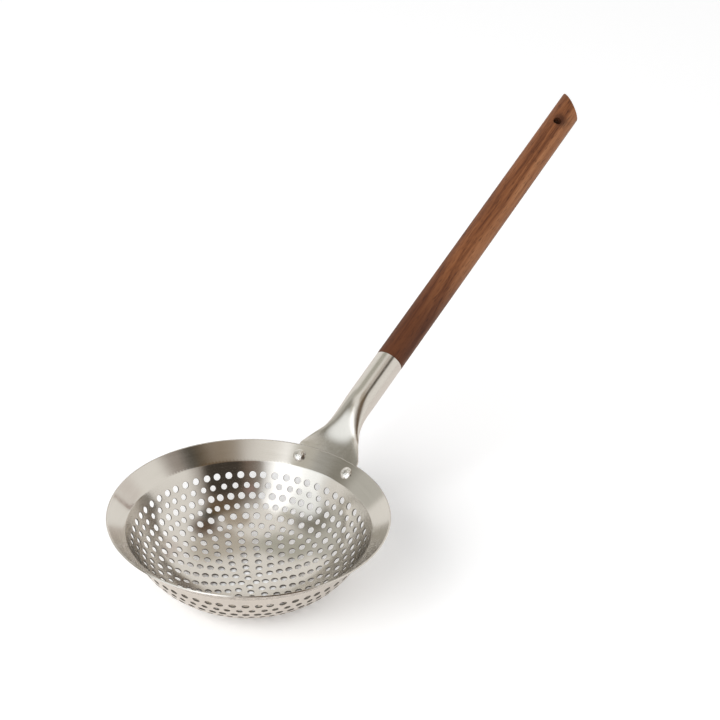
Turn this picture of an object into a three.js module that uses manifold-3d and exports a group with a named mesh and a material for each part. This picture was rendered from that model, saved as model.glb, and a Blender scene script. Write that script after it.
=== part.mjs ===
// Perforated skimmer with a pressed steel bowl, a riveted sheet socket and a round wooden handle.
// Millimetres, +Z up. The origin is the middle of the bowl's underside, and the handle points along +Y.
import * as THREE from 'three';
import { mergeVertices } from 'three/addons/utils/BufferGeometryUtils.js';
import Module from 'manifold-3d';

const wasm = await Module();
wasm.setup();

const degrees = THREE.MathUtils.degToRad;
const { sin, cos, tan, sqrt, PI } = Math;
const FULL_TURN = 2 * PI;

// Clearance left between pieces that touch on the real object
const SEAT_GAP = 0.3;

// Vertices closer than this are one vertex, and cutters reach this many times past what they cut
const MERGE_DISTANCE = 1e-4;
const CUTTER_REACH = 4;

// Bowl: one sheet pressed to a dished floor, a rounded wall and a straight sloping flange
const RIM_RADIUS = 80;
const FLANGE_WIDTH = 10.7;
const FLANGE_SLOPE = degrees(42);
const WALL_STRAIGHT = 10.9;
const WALL_SLOPE = degrees(61);
const KNUCKLE_RADIUS = 54;
const DISH_RADIUS = 115;
const BASE_FLAT_RADIUS = 6.5;
const BOWL_SHEET = 0.9;
const RIM_FACETS = 120;

// Floor perforations: rings whose hole count grows by the same number from ring to ring
const FLOOR_HOLE = 3.8;
const FLOOR_RING_START = 4.3;
const FLOOR_RING_PITCH = 5.28;
const FLOOR_SPOKES = 4;
const FLOOR_SPOKE_ANGLE = degrees(46.8);
const FLOOR_WALL_SPACE = 4.6;

// Wall perforations: rows of large and small holes in equal groups, from the top row down
const LARGE_HOLE = 4.0;
const SMALL_HOLE = 3.4;
const WALL_ROW_INSET = 8;
const WALL_ROW_PITCH = 6.14;
const WALL_GROUPS = 15;
const WALL_GROUP_ANGLE = degrees(1.1);
const CLOSE_PITCH = degrees(6.2);
const WIDE_PITCH = degrees(8.3);
const WALL_ROWS = [
  { diameter: LARGE_HOLE, perGroup: 4, pitch: CLOSE_PITCH, stagger: 0.5 },
  { diameter: SMALL_HOLE, perGroup: 4, pitch: CLOSE_PITCH, stagger: 0 },
  { diameter: LARGE_HOLE, perGroup: 4, pitch: CLOSE_PITCH, stagger: 0.5 },
  { diameter: SMALL_HOLE, perGroup: 4, pitch: CLOSE_PITCH, stagger: 0 },
  { diameter: LARGE_HOLE, perGroup: 3, pitch: WIDE_PITCH, stagger: 0 },
  { diameter: SMALL_HOLE, perGroup: 3, pitch: WIDE_PITCH, stagger: 0.5 },
];
const HOLE_SIDES = 5;

// Socket: one sheet, a fan under the flange that rolls up into a tube around the handle
const SOCKET_SHEET = 1.2;
const HANDLE_SLOPE = degrees(24.3);
const TUBE_LENGTH = 29;
const FLARE_LENGTH = 40;
const SOCKET_DROP = 1.9;
const FAN_WIDTH = 41;
const FAN_INSET = 2.2;
const FAN_CORNER = 6;
const FAN_OVERHANG = 0.5;
const SEAM_GAP = 0.5;

// Flare: lengths along it of the bends in its sides, its top line and its lower edges
const SIDE_BEND = 2.5;
const SIDE_SETTLE = 17;
const RAMP_START = 4.7;
const RAMP_BEND = 8.9;
const CREST_BEND = 23.5;
const FAN_BEND = 25;
const KEEL_START = 14;
const SOCKET_STEPS_ACROSS = 22;
const SOCKET_STEPS_FLARE = 14;
const FAN_CORNER_STEPS = 4;

// Rivets: a dome on the flange, a shank through both sheets and a set head under the fan
const RIVET_END_INSET = 2.9;
const RIVET_SIDE_INSET = 3.9;
const RIVET_SHANK = 3.6;
const RIVET_HEAD = 7.6;
const RIVET_HEAD_HEIGHT = 1.5;
const RIVET_TAIL = 5.6;
const RIVET_TAIL_HEIGHT = 1.1;
const RIVET_FACETS = 16;
const RIVET_DOME_STEPS = 4;

// Handle: a round rod flush with the tube, with a tenon inside it and a slanted tip
const HANDLE_DIAMETER = 17.4;
const HANDLE_TIP_DIAMETER = 17.1;
const HANDLE_LENGTH = 229;
const TENON_END_GAP = 3;
const TIP_CUT = degrees(35.8);
const TIP_ROLL = degrees(6);
const HANG_HOLE = 5;
const HANG_HOLE_INSET = 20.2;
const HANG_HOLE_ROLL = degrees(20);
const HANDLE_FACETS = 32;

const steel = { color: 0xc9c5be, roughness: 0.34, metalness: 1 };
const polishedSteel = { color: 0xd8d6d1, roughness: 0.18, metalness: 1 };
const wood = { color: 0x7d5236, roughness: 0.6, metalness: 0 };

function meshOf(name, geometry, finish) {
  const mesh = new THREE.Mesh(geometry, new THREE.MeshStandardMaterial(finish));
  mesh.name = name;
  return mesh;
}

function geometryOf(points, faces) {
  const geometry = new THREE.BufferGeometry().setFromPoints(points);
  geometry.setIndex(faces.flat());
  geometry.computeVertexNormals();
  return geometry;
}

function solidOf(geometry) {
  const bare = geometry.clone();
  bare.deleteAttribute('normal');
  bare.deleteAttribute('uv');
  const merged = mergeVertices(bare, MERGE_DISTANCE);
  const index = merged.index.array;
  const triangles = [];
  for (let start = 0; start < index.length; start += 3) {
    const [a, b, c] = index.slice(start, start + 3);
    if (a !== b && b !== c && c !== a) triangles.push(a, b, c);
  }
  return new wasm.Manifold(new wasm.Mesh({
    numProp: 3,
    vertProperties: new Float32Array(merged.attributes.position.array),
    triVerts: new Uint32Array(triangles),
  }));
}

function cut(geometry, cutters) {
  const left = cutters.reduce((body, cutter) => body.subtract(solidOf(cutter)), solidOf(geometry));
  const { vertProperties, triVerts } = left.getMesh();
  const result = new THREE.BufferGeometry();
  result.setAttribute('position', new THREE.BufferAttribute(vertProperties, 3));
  result.setIndex(new THREE.BufferAttribute(triVerts, 1));
  result.computeVertexNormals();
  return result;
}

function polar(radius, angle, height) {
  return new THREE.Vector3(radius * sin(angle), radius * cos(angle), height);
}

// Bowl profile: the inside line from the middle of the floor, as arcs that meet at equal slopes.
// The dish runs out to the slope at which the knuckle, the wall and the flange end at the rim.
const CREASE_RADIUS = RIM_RADIUS - FLANGE_WIDTH;
const DISH_SPAN = CREASE_RADIUS - WALL_STRAIGHT * cos(WALL_SLOPE) - BASE_FLAT_RADIUS;
const DISH_END_SLOPE = Math.asin(
  (DISH_SPAN - KNUCKLE_RADIUS * sin(WALL_SLOPE)) / (DISH_RADIUS - KNUCKLE_RADIUS),
);
const PROFILE_ARCS = [
  { length: BASE_FLAT_RADIUS, bend: 0 },
  { length: DISH_END_SLOPE * DISH_RADIUS, bend: 1 / DISH_RADIUS },
  { length: (WALL_SLOPE - DISH_END_SLOPE) * KNUCKLE_RADIUS, bend: 1 / KNUCKLE_RADIUS },
];

function profileAt(arc) {
  const place = { radius: 0, height: BOWL_SHEET, slope: 0 };
  let left = arc;
  const straight = (length) => {
    place.radius += length * cos(place.slope);
    place.height += length * sin(place.slope);
  };
  for (const { length, bend } of PROFILE_ARCS) {
    const run = Math.min(left, length);
    left -= run;
    if (bend === 0) {
      straight(run);
    } else {
      const end = place.slope + run * bend;
      place.radius += (sin(end) - sin(place.slope)) / bend;
      place.height += (cos(place.slope) - cos(end)) / bend;
      place.slope = end;
    }
  }
  straight(left);
  return place;
}

const CREASE_ARC = PROFILE_ARCS.reduce((sum, { length }) => sum + length, WALL_STRAIGHT);
const CREASE_HEIGHT = profileAt(CREASE_ARC).height;
const RIM_INSIDE_RADIUS = RIM_RADIUS - BOWL_SHEET * sin(FLANGE_SLOPE);

function flangeHeight(radius) {
  return CREASE_HEIGHT + (radius - CREASE_RADIUS) * tan(FLANGE_SLOPE);
}

const CREASE = {
  radius: CREASE_RADIUS,
  height: CREASE_HEIGHT,
  slope: (WALL_SLOPE + FLANGE_SLOPE) / 2,
  miter: 1 / cos((WALL_SLOPE - FLANGE_SLOPE) / 2),
};
const RIM = {
  radius: RIM_INSIDE_RADIUS,
  height: flangeHeight(RIM_INSIDE_RADIUS),
  slope: FLANGE_SLOPE,
};

// Adds one vertex on the inside of the sheet, with its partner on the outside
function addVertex(sheet, { radius, height, slope, miter = 1 }, angle) {
  const depth = BOWL_SHEET * miter;
  sheet.inside.push(polar(radius, angle, height));
  sheet.outside.push(polar(radius + depth * sin(slope), angle, height - depth * cos(slope)));
  return { vertex: sheet.inside.length - 1, angle };
}

// Puts a closed chain of vertices in order around the bowl, from the first angle past zero
function fromZero(chain) {
  const wrapped = chain.map(({ vertex, angle }) => ({
    vertex,
    angle: THREE.MathUtils.euclideanModulo(angle, FULL_TURN),
  }));
  return wrapped.sort((one, other) => one.angle - other.angle);
}

// Walls an edge of the sheet, from its inside to its outside
function wallEdge(sheet, from, to) {
  sheet.edges.push([to, from]);
}

function addCircle(sheet, place) {
  const chain = [];
  for (let facet = 0; facet < RIM_FACETS; facet += 1) {
    chain.push(addVertex(sheet, place, (FULL_TURN * facet) / RIM_FACETS));
  }
  return chain;
}

// A hole has the area of the round one. Its chains run from its left corner to its right one.
const HOLE_REACH = sqrt(FULL_TURN / (HOLE_SIDES * sin(FULL_TURN / HOLE_SIDES)));

function holeCorners({ arc, diameter }) {
  const reach = (diameter / 2) * HOLE_REACH;
  return Array.from({ length: HOLE_SIDES }, (_, side) => {
    const turn = (FULL_TURN * side) / HOLE_SIDES;
    const place = profileAt(arc + reach * cos(turn));
    return { place, aside: (reach * sin(turn)) / place.radius };
  });
}

function addHoleRow(sheet, row) {
  const shape = holeCorners(row);
  const widest = Math.max(...shape.map(({ aside }) => aside));
  const right = shape.findIndex(({ aside }) => aside === widest);
  const left = HOLE_SIDES - right;
  const towardsRim = [];
  const towardsMiddle = [];
  for (const centre of row.angles) {
    const corners = shape.map(({ place, aside }) => addVertex(sheet, place, centre + aside));
    towardsRim.push(...corners.slice(left), ...corners.slice(0, right + 1));
    towardsMiddle.push(...corners.slice(right, left + 1));
    corners.forEach((corner, side) => {
      wallEdge(sheet, corner.vertex, corners[(side + 1) % HOLE_SIDES].vertex);
    });
  }
  return { towardsRim: fromZero(towardsRim), towardsMiddle: fromZero(towardsMiddle) };
}

// Fills the strip between two closed chains, always stepping to the nearer next angle
function fillStrip(sheet, near, far) {
  const at = (chain, step) => chain[step % chain.length].vertex;
  const angleAt = (chain, step) => (
    chain[step % chain.length].angle + FULL_TURN * Math.floor(step / chain.length)
  );
  let nearStep = 0;
  let farStep = 0;
  while (nearStep < near.length || farStep < far.length) {
    const nearFirst = angleAt(near, nearStep + 1) < angleAt(far, farStep + 1);
    if (farStep === far.length || (nearStep < near.length && nearFirst)) {
      sheet.faces.push([at(near, nearStep), at(near, nearStep + 1), at(far, farStep)]);
      nearStep += 1;
    } else {
      sheet.faces.push([at(near, nearStep), at(far, farStep + 1), at(far, farStep)]);
      farStep += 1;
    }
  }
}

function fillMiddle(sheet, chain) {
  const middle = addVertex(sheet, profileAt(0), 0).vertex;
  chain.forEach(({ vertex }, step) => {
    sheet.faces.push([middle, chain[(step + 1) % chain.length].vertex, vertex]);
  });
}

// Holes are rows at an arc length from the middle of the floor. The floor has the rings that fit.
const WALL_TOP_ARC = CREASE_ARC - WALL_ROW_INSET;
const FLOOR_END_ARC = WALL_TOP_ARC - (WALL_ROWS.length - 1) * WALL_ROW_PITCH - FLOOR_WALL_SPACE;
const FLOOR_RINGS = Math.floor((FLOOR_END_ARC - FLOOR_RING_START) / FLOOR_RING_PITCH) + 1;

function floorRows() {
  return Array.from({ length: FLOOR_RINGS }, (_, ring) => {
    const count = FLOOR_SPOKES * (ring + 1);
    const angles = Array.from({ length: count }, (__, hole) => (
      FLOOR_SPOKE_ANGLE + (FULL_TURN * hole) / count
    ));
    return { arc: FLOOR_RING_START + ring * FLOOR_RING_PITCH, diameter: FLOOR_HOLE, angles };
  });
}

function wallRows() {
  return WALL_ROWS.map(({ diameter, perGroup, pitch, stagger }, row) => {
    const angles = [];
    for (let group = 0; group < WALL_GROUPS; group += 1) {
      const middle = WALL_GROUP_ANGLE + (FULL_TURN * group) / WALL_GROUPS;
      for (let hole = 0; hole < perGroup; hole += 1) {
        angles.push(middle + pitch * (hole - (perGroup - 1) / 2 + stagger));
      }
    }
    return { arc: WALL_TOP_ARC - row * WALL_ROW_PITCH, diameter, angles };
  });
}

function closedSheet({ inside, outside, faces, edges }) {
  const shift = inside.length;
  const triangles = [];
  for (const [a, b, c] of faces) {
    triangles.push([a, b, c], [a + shift, c + shift, b + shift]);
  }
  for (const [a, b] of edges) {
    triangles.push([a, b, b + shift], [a, b + shift, a + shift]);
  }
  return geometryOf([...inside, ...outside], triangles);
}

// Rivets stand square to the flange, set in from the fan's inner end and from its sides
const FAN_START_RADIUS = CREASE_RADIUS + FAN_INSET;
const RIVET_RADIUS = FAN_START_RADIUS + RIVET_END_INSET;
const RIVET_ANGLE = Math.asin((FAN_WIDTH / 2 - RIVET_SIDE_INSET) / RIVET_RADIUS);
const RIVET_GRIP = BOWL_SHEET + SEAT_GAP + SOCKET_SHEET;
const RIVET_HOLE = RIVET_SHANK + 2 * SEAT_GAP;

function rivetPlace(side) {
  const angle = side * RIVET_ANGLE;
  const outward = polar(-sin(FLANGE_SLOPE), angle, cos(FLANGE_SLOPE));
  const frame = new THREE.Object3D();
  frame.position.copy(polar(RIVET_RADIUS, angle, flangeHeight(RIVET_RADIUS)));
  frame.quaternion.setFromUnitVectors(new THREE.Vector3(0, 1, 0), outward);
  frame.updateMatrixWorld();
  return frame;
}

function rivetHoles() {
  return [-1, 1].map((side) => {
    const drill = new THREE.CylinderGeometry(
      RIVET_HOLE / 2, RIVET_HOLE / 2, CUTTER_REACH * RIVET_GRIP, RIVET_FACETS,
    );
    return drill.applyMatrix4(rivetPlace(side).matrixWorld);
  });
}

function bowl() {
  const sheet = { inside: [], outside: [], faces: [], edges: [] };
  const rows = [...floorRows(), ...wallRows().reverse()].map((row) => addHoleRow(sheet, row));
  fillMiddle(sheet, rows[0].towardsMiddle);
  rows.slice(1).forEach((row, before) => {
    fillStrip(sheet, rows[before].towardsRim, row.towardsMiddle);
  });
  const crease = addCircle(sheet, CREASE);
  const rim = addCircle(sheet, RIM);
  fillStrip(sheet, rows.at(-1).towardsRim, crease);
  fillStrip(sheet, crease, rim);
  rim.forEach(({ vertex }, facet) => {
    wallEdge(sheet, rim[(facet + 1) % RIM_FACETS].vertex, vertex);
  });
  return meshOf('bowl', cut(closedSheet(sheet), rivetHoles()), steel);
}

// Socket: middle surface of the sheet. The fan lies under the flange, and past the rim its middle
// rises to the top of the tube while its sides roll down and meet in a seam under it.
const TUBE_MIDDLE_RADIUS = (HANDLE_DIAMETER - SOCKET_SHEET) / 2;
const FAN_DEPTH = BOWL_SHEET + SEAT_GAP + SOCKET_SHEET / 2;
const SOCKET_REACH = FLARE_LENGTH + TUBE_LENGTH;
const BEND_FLANGE_RADIUS = RIM_INSIDE_RADIUS + FAN_OVERHANG;
const BEND = {
  radius: BEND_FLANGE_RADIUS + FAN_DEPTH * sin(FLANGE_SLOPE),
  height: flangeHeight(BEND_FLANGE_RADIUS) - FAN_DEPTH * cos(FLANGE_SLOPE),
};
const FAN_PITCH = tan(FLANGE_SLOPE - HANDLE_SLOPE);
const ALONG = new THREE.Vector3(0, cos(HANDLE_SLOPE), sin(HANDLE_SLOPE));
const ABOVE = new THREE.Vector3(0, -sin(HANDLE_SLOPE), cos(HANDLE_SLOPE));

function acrossSteps() {
  return Array.from({ length: SOCKET_STEPS_ACROSS + 1 }, (_, step) => (
    (2 * step) / SOCKET_STEPS_ACROSS - 1
  ));
}

function onCircle(radius, across, height) {
  return new THREE.Vector3(across, sqrt(radius * radius - across * across), height);
}

// Rows of the fan from its rounded inner end out to the bend at the rim
function fanRows() {
  return Array.from({ length: FAN_CORNER_STEPS + 1 }, (_, step) => {
    const turn = (PI / 2) * (step / FAN_CORNER_STEPS);
    const half = FAN_WIDTH / 2 - FAN_CORNER * (1 - sin(turn));
    const flangeRadius = FAN_START_RADIUS + FAN_CORNER * (1 - cos(turn));
    const radius = flangeRadius + FAN_DEPTH * sin(FLANGE_SLOPE);
    const height = flangeHeight(flangeRadius) - FAN_DEPTH * cos(FLANGE_SLOPE);
    return acrossSteps().map((share) => onCircle(radius, share * half, height));
  });
}

// How far a line has turned aside, at a distance past the start of a bend to a slope of one
function bent(distance, bend) {
  const past = Math.max(distance, 0);
  return past < bend ? (past * past) / (2 * bend) : past - bend / 2;
}

// Share of the way from the fan's width to the tube's
function drawnIn(along) {
  const settleStart = FLARE_LENGTH - SIDE_SETTLE;
  const wayIn = FLARE_LENGTH - SIDE_SETTLE / 2 - SIDE_BEND / 2;
  return (bent(along, SIDE_BEND) - bent(along - settleStart, SIDE_SETTLE)) / wayIn;
}

// Height of the flare's top line: the fan's own slope, then a steeper ramp, then the tube's top
function topLine(along) {
  const tubeTop = 2 * TUBE_MIDDLE_RADIUS - SOCKET_DROP;
  const crestStart = FLARE_LENGTH - CREST_BEND;
  const rampMiddle = RAMP_START + RAMP_BEND / 2;
  const crestMiddle = crestStart + CREST_BEND / 2;
  const rampPitch = (tubeTop - FAN_PITCH * rampMiddle) / (crestMiddle - rampMiddle);
  return FAN_PITCH * along
    + (rampPitch - FAN_PITCH) * bent(along - RAMP_START, RAMP_BEND)
    - rampPitch * bent(along - crestStart, CREST_BEND);
}

function socketRow(along) {
  const seamAngle = SEAM_GAP / TUBE_MIDDLE_RADIUS;
  const settled = THREE.MathUtils.smoothstep(along, KEEL_START, FLARE_LENGTH);
  const side = drawnIn(along);
  const top = topLine(along);
  const fanEdge = FAN_PITCH * (along - bent(along, FAN_BEND));
  const lower = THREE.MathUtils.lerp(fanEdge, -SOCKET_DROP, settled);
  return acrossSteps().map((share) => {
    const roll = share * (PI - seamAngle / 2);
    const flat = share * (FAN_WIDTH / 2);
    const across = THREE.MathUtils.lerp(flat, TUBE_MIDDLE_RADIUS * sin(roll), side);
    const rimBack = BEND.radius - sqrt(BEND.radius * BEND.radius - across * across);
    const back = (1 - settled) * rimBack;
    const arch = THREE.MathUtils.lerp(lower, top, (1 + cos(roll)) / 2);
    return new THREE.Vector3(across, BEND.radius, BEND.height)
      .addScaledVector(ALONG, along - back * cos(HANDLE_SLOPE))
      .addScaledVector(ABOVE, arch + back * sin(HANDLE_SLOPE));
  });
}

function socketRows() {
  const flare = Array.from({ length: SOCKET_STEPS_FLARE + 1 }, (_, step) => (
    socketRow((FLARE_LENGTH * step) / SOCKET_STEPS_FLARE)
  ));
  return [...fanRows(), ...flare, socketRow(SOCKET_REACH)];
}

// Gives a grid of points the sheet's thickness, half on each side, and closes its four edges
function thickSheet(rows, thickness) {
  const across = rows[0].length;
  const clampRow = (row) => rows[THREE.MathUtils.clamp(row, 0, rows.length - 1)];
  const clampStep = (line, step) => line[THREE.MathUtils.clamp(step, 0, across - 1)];
  const upper = [];
  const lower = [];
  rows.forEach((line, row) => line.forEach((point, step) => {
    const sideways = clampStep(line, step + 1).clone().sub(clampStep(line, step - 1));
    const lengthways = clampRow(row + 1)[step].clone().sub(clampRow(row - 1)[step]);
    const normal = sideways.cross(lengthways).normalize().multiplyScalar(thickness / 2);
    upper.push(point.clone().add(normal));
    lower.push(point.clone().sub(normal));
  }));
  const shift = upper.length;
  const at = (row, step) => row * across + step;
  const faces = [];
  const quad = (a, b, c, d) => faces.push([a, b, c], [a, c, d]);
  const lastRow = rows.length - 1;
  const lastStep = across - 1;
  for (let row = 0; row < lastRow; row += 1) {
    for (let step = 0; step < lastStep; step += 1) {
      const [a, b] = [at(row, step), at(row, step + 1)];
      const [d, c] = [at(row + 1, step), at(row + 1, step + 1)];
      quad(a, b, c, d);
      quad(a + shift, d + shift, c + shift, b + shift);
    }
    quad(at(row, 0), at(row + 1, 0), at(row + 1, 0) + shift, at(row, 0) + shift);
    quad(
      at(row + 1, lastStep), at(row, lastStep), at(row, lastStep) + shift, at(row + 1, lastStep) + shift,
    );
  }
  for (let step = 0; step < lastStep; step += 1) {
    quad(at(0, step + 1), at(0, step), at(0, step) + shift, at(0, step + 1) + shift);
    quad(
      at(lastRow, step), at(lastRow, step + 1), at(lastRow, step + 1) + shift, at(lastRow, step) + shift,
    );
  }
  return geometryOf([...upper, ...lower], faces);
}

function handleSocket() {
  const sheet = thickSheet(socketRows(), SOCKET_SHEET);
  return meshOf('handle_socket', cut(sheet, rivetHoles()), steel);
}

// Rivet profile along its axis, with zero at the top of the flange
function rivet(name, side) {
  const profile = [];
  const tailTop = -RIVET_GRIP - SEAT_GAP;
  const domeRadius = (RIVET_HEAD * RIVET_HEAD / 4 + RIVET_HEAD_HEIGHT ** 2) / (2 * RIVET_HEAD_HEIGHT);
  const domeAngle = Math.asin(RIVET_HEAD / 2 / domeRadius);
  profile.push(new THREE.Vector2(0, tailTop - RIVET_TAIL_HEIGHT));
  profile.push(new THREE.Vector2(RIVET_TAIL / 2 - RIVET_TAIL_HEIGHT / 2, tailTop - RIVET_TAIL_HEIGHT));
  profile.push(new THREE.Vector2(RIVET_TAIL / 2, tailTop - RIVET_TAIL_HEIGHT / 2));
  profile.push(new THREE.Vector2(RIVET_TAIL / 2, tailTop));
  profile.push(new THREE.Vector2(RIVET_SHANK / 2, tailTop));
  profile.push(new THREE.Vector2(RIVET_SHANK / 2, SEAT_GAP));
  for (let step = 0; step <= RIVET_DOME_STEPS; step += 1) {
    const turn = domeAngle * (1 - step / RIVET_DOME_STEPS);
    const height = SEAT_GAP + RIVET_HEAD_HEIGHT - domeRadius * (1 - cos(turn));
    profile.push(new THREE.Vector2(domeRadius * sin(turn), height));
  }
  const body = meshOf(name, new THREE.LatheGeometry(profile, RIVET_FACETS), polishedSteel);
  const place = rivetPlace(side);
  body.position.copy(place.position);
  body.quaternion.copy(place.quaternion);
  return body;
}

// Handle: its own Y runs along the rod from the tube's end, and its Z is the rod's upper side
function woodenHandle() {
  const tenonRadius = HANDLE_DIAMETER / 2 - SOCKET_SHEET - SEAT_GAP;
  const tenonEnd = TENON_END_GAP - TUBE_LENGTH;
  const tipRise = (HANDLE_TIP_DIAMETER / 2) * tan(TIP_CUT);
  const blankEnd = HANDLE_LENGTH + 2 * tipRise;
  const taper = (HANDLE_DIAMETER - HANDLE_TIP_DIAMETER) / 2 / HANDLE_LENGTH;
  const profile = [
    new THREE.Vector2(0, tenonEnd),
    new THREE.Vector2(tenonRadius, tenonEnd),
    new THREE.Vector2(tenonRadius, SEAT_GAP),
    new THREE.Vector2(HANDLE_DIAMETER / 2, SEAT_GAP),
    new THREE.Vector2(HANDLE_DIAMETER / 2 - taper * blankEnd, blankEnd),
    new THREE.Vector2(0, blankEnd),
  ];
  const rod = new THREE.LatheGeometry(profile, HANDLE_FACETS);

  const waste = CUTTER_REACH * HANDLE_DIAMETER;
  const tip = new THREE.BoxGeometry(waste, waste, waste);
  tip.translate(0, waste / 2, 0);
  tip.rotateZ(-TIP_CUT);
  tip.rotateY(TIP_ROLL);
  tip.translate(0, HANDLE_LENGTH, 0);

  const hang = new THREE.CylinderGeometry(HANG_HOLE / 2, HANG_HOLE / 2, waste, RIVET_FACETS);
  hang.rotateX(PI / 2);
  hang.rotateY(HANG_HOLE_ROLL);
  hang.translate(0, HANDLE_LENGTH - HANG_HOLE_INSET, 0);

  const body = meshOf('wooden_handle', cut(rod, [tip, hang]), wood);
  body.position.set(0, BEND.radius, BEND.height);
  body.position.addScaledVector(ALONG, SOCKET_REACH);
  body.position.addScaledVector(ABOVE, TUBE_MIDDLE_RADIUS - SOCKET_DROP);
  body.rotation.x = HANDLE_SLOPE;
  return body;
}

const skimmer = new THREE.Group();
skimmer.add(bowl());
skimmer.add(handleSocket());
skimmer.add(rivet('rivet_left', -1));
skimmer.add(rivet('rivet_right', 1));
skimmer.add(woodenHandle());

export default skimmer;
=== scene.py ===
from collections import namedtuple
from math import asin, atan2, ceil, cos, hypot, pi, radians, sin, sqrt, tan

import bpy
from mathutils import Matrix, Quaternion, Vector
from mathutils.geometry import delaunay_2d_cdt
from mathutils.kdtree import KDTree


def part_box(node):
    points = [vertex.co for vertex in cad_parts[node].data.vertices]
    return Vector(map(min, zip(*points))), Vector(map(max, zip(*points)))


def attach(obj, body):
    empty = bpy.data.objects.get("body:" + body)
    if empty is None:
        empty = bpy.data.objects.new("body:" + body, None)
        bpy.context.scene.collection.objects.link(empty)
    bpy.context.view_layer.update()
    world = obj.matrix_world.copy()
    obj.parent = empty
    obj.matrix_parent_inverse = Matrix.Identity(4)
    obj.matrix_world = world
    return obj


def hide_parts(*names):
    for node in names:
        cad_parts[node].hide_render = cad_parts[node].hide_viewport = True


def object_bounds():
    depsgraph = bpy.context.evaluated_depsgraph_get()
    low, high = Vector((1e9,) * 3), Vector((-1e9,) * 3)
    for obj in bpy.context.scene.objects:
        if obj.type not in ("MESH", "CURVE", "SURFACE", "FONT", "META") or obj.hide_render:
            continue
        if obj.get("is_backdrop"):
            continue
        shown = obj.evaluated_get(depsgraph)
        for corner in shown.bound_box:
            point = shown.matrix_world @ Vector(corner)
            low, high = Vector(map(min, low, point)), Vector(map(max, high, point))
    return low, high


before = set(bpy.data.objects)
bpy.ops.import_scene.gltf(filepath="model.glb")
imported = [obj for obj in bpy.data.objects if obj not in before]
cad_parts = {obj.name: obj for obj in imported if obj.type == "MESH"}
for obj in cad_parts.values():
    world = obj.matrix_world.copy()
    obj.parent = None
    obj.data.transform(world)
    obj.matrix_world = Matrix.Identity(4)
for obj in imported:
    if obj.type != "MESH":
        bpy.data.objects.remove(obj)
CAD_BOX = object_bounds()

MM = 0.001
FULL_TURN = 2 * pi
BOWL_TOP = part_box("bowl")[1]

# Pieces that touch keep this much air, so that no two surfaces coincide
SEAT_GAP = 0.05 * MM
MERGE_DISTANCE = 1e-8
SMALLEST_AREA = 1e-13

# Bowl: one sheet pressed to a dished floor, a rounded wall and a straight sloping flange
RIM_RADIUS = BOWL_TOP.x
FLANGE_WIDTH = 10.7 * MM
FLANGE_SLOPE = radians(42)
WALL_STRAIGHT = 10.9 * MM
WALL_SLOPE = radians(61)
KNUCKLE_RADIUS = 54 * MM
DISH_RADIUS = 115 * MM
BASE_FLAT_RADIUS = 6.5 * MM
CREASE_ROUND = 2.5 * MM
BOWL_SHEET = 0.9 * MM
BOWL_EDGE = 0.14 * MM
RIM_EDGE = 0.6 * MM
RIM_STEPS = 360
BOWL_RING_PITCH = 1.7 * MM
BOWL_RING_STEP = 2.1 * MM
CREASE_RINGS = 4

# Floor perforations: rings whose hole count grows by the same number from ring to ring
FLOOR_HOLE = 3.8 * MM
FLOOR_RING_START = 4.3 * MM
FLOOR_RING_PITCH = 5.28 * MM
FLOOR_RINGS = 8
FLOOR_SPOKES = 4
FLOOR_SPOKE_ANGLE = radians(46.8)

# Wall perforations: rows of large and small holes in equal groups, from the top row down
LARGE_HOLE = 4.0 * MM
SMALL_HOLE = 3.4 * MM
WALL_ROW_INSET = 8 * MM
WALL_ROW_PITCH = 6.14 * MM
WALL_GROUPS = 15
WALL_GROUP_ANGLE = radians(1.1)
CLOSE_PITCH = radians(6.2)
WIDE_PITCH = radians(8.3)
WallRow = namedtuple("WallRow", "diameter per_group pitch stagger")
WALL_ROWS = (
    WallRow(LARGE_HOLE, 4, CLOSE_PITCH, 0.5),
    WallRow(SMALL_HOLE, 4, CLOSE_PITCH, 0),
    WallRow(LARGE_HOLE, 4, CLOSE_PITCH, 0.5),
    WallRow(SMALL_HOLE, 4, CLOSE_PITCH, 0),
    WallRow(LARGE_HOLE, 3, WIDE_PITCH, 0),
    WallRow(SMALL_HOLE, 3, WIDE_PITCH, 0.5),
)
HOLE_STEPS = 20
HOLE_MARGIN = 0.75 * MM

# Socket: one sheet, a fan under the flange that rolls up into a tube around the handle
SOCKET_SHEET = 1.2 * MM
SOCKET_EDGE = 0.22 * MM
HANDLE_SLOPE = radians(24.3)
TUBE_LENGTH = 29 * MM
FLARE_LENGTH = 40 * MM
SOCKET_DROP = 1.9 * MM
FAN_WIDTH = 41 * MM
FAN_INSET = 2.2 * MM
FAN_CORNER = 6 * MM
FAN_OVERHANG = 0.5 * MM
SEAM_GAP = 0.5 * MM
SIDE_BEND = 2.5 * MM
SIDE_SETTLE = 17 * MM
RAMP_START = 4.7 * MM
RAMP_BEND = 8.9 * MM
CREST_BEND = 23.5 * MM
FAN_BEND = 25 * MM
KEEL_START = 14 * MM
SIDE_TURN_DOWN = 0.5 * MM
SIDE_TURN_POWER = 6
SOCKET_STEP = 0.6 * MM
TUBE_STEP = 1.4 * MM
FAN_CORNER_STEPS = 12
SLOPE_STEP = 0.02 * MM

# Rivets: a dome on the flange, a shank through both sheets and a set head under the fan
RIVET_END_INSET = 2.9 * MM
RIVET_SIDE_INSET = 3.9 * MM
RIVET_SHANK = 3.6 * MM
RIVET_HOLE = 4.2 * MM
RIVET_HEAD = 7.6 * MM
RIVET_HEAD_HEIGHT = 1.7 * MM
RIVET_LIP = 0.35 * MM
RIVET_TAIL = 5.6 * MM
RIVET_TAIL_HEIGHT = 1.1 * MM
RIVET_EDGE = 0.15 * MM
RIVET_STEPS = 48
RIVET_DOME_STEPS = 10

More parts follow.
